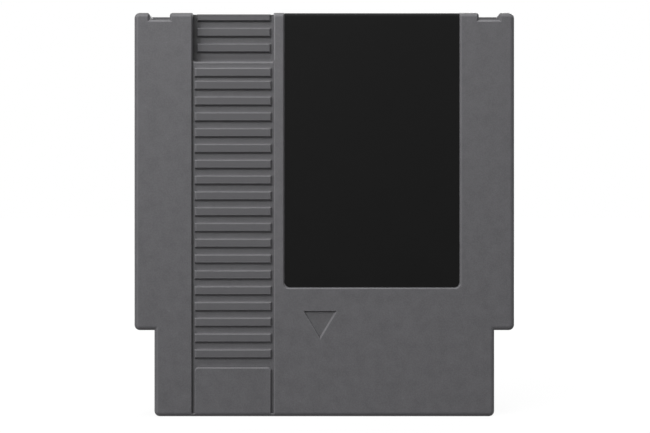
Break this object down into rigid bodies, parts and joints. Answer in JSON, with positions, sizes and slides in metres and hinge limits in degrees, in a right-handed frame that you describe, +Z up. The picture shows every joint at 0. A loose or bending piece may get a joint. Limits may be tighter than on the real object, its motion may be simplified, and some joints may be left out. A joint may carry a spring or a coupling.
{
  "type": "game cartridge",
  "caption": "Flat grey two-part case with a ribbed grip column, a black label over its top edge and a circuit board whose edge contacts meet a console's slot.",
  "frame": {"origin": "middle of the bottom edge, on the line where the two halves of the case meet", "axes": "+Z up from the edge that goes into the console, +Y out of the rear face, +X to the right seen from the front"},
  "size_m": [0.12, 0.017, 0.1275],
  "materials": {
    "case_plastic": "fine matte moulded grey",
    "label_black": "satin coated black",
    "board_green": "green resist",
    "contact_gold": "gold plated",
    "chip_black": "matte moulded",
    "lead_metal": "tinned",
    "can_aluminium": "plain drawn",
    "sleeve_blue": "shrunk film",
    "bung_rubber": "matte",
    "capacitor_ceramic": "dipped coating",
    "screw_steel": "zinc plated"
  },
  "bodies": {
    "root": {"front_shell": "case_plastic", "rear_shell": "case_plastic", "front_label": "label_black", "circuit_board": "board_green", "front_contacts": "contact_gold", "rear_contacts": "contact_gold", "program_chip": "chip_black", "program_chip_leads": "lead_metal", "picture_chip": "chip_black", "picture_chip_leads": "lead_metal", "lockout_chip": "chip_black", "lockout_chip_leads": "lead_metal", "power_capacitor_can": "can_aluminium", "power_capacitor_sleeve": "sleeve_blue", "power_capacitor_bung": "bung_rubber", "power_capacitor_wires": "lead_metal", "bypass_capacitors": "capacitor_ceramic", "bypass_capacitor_wires": "lead_metal", "case_screws": "screw_steel"}
  },
  "joints": []
}
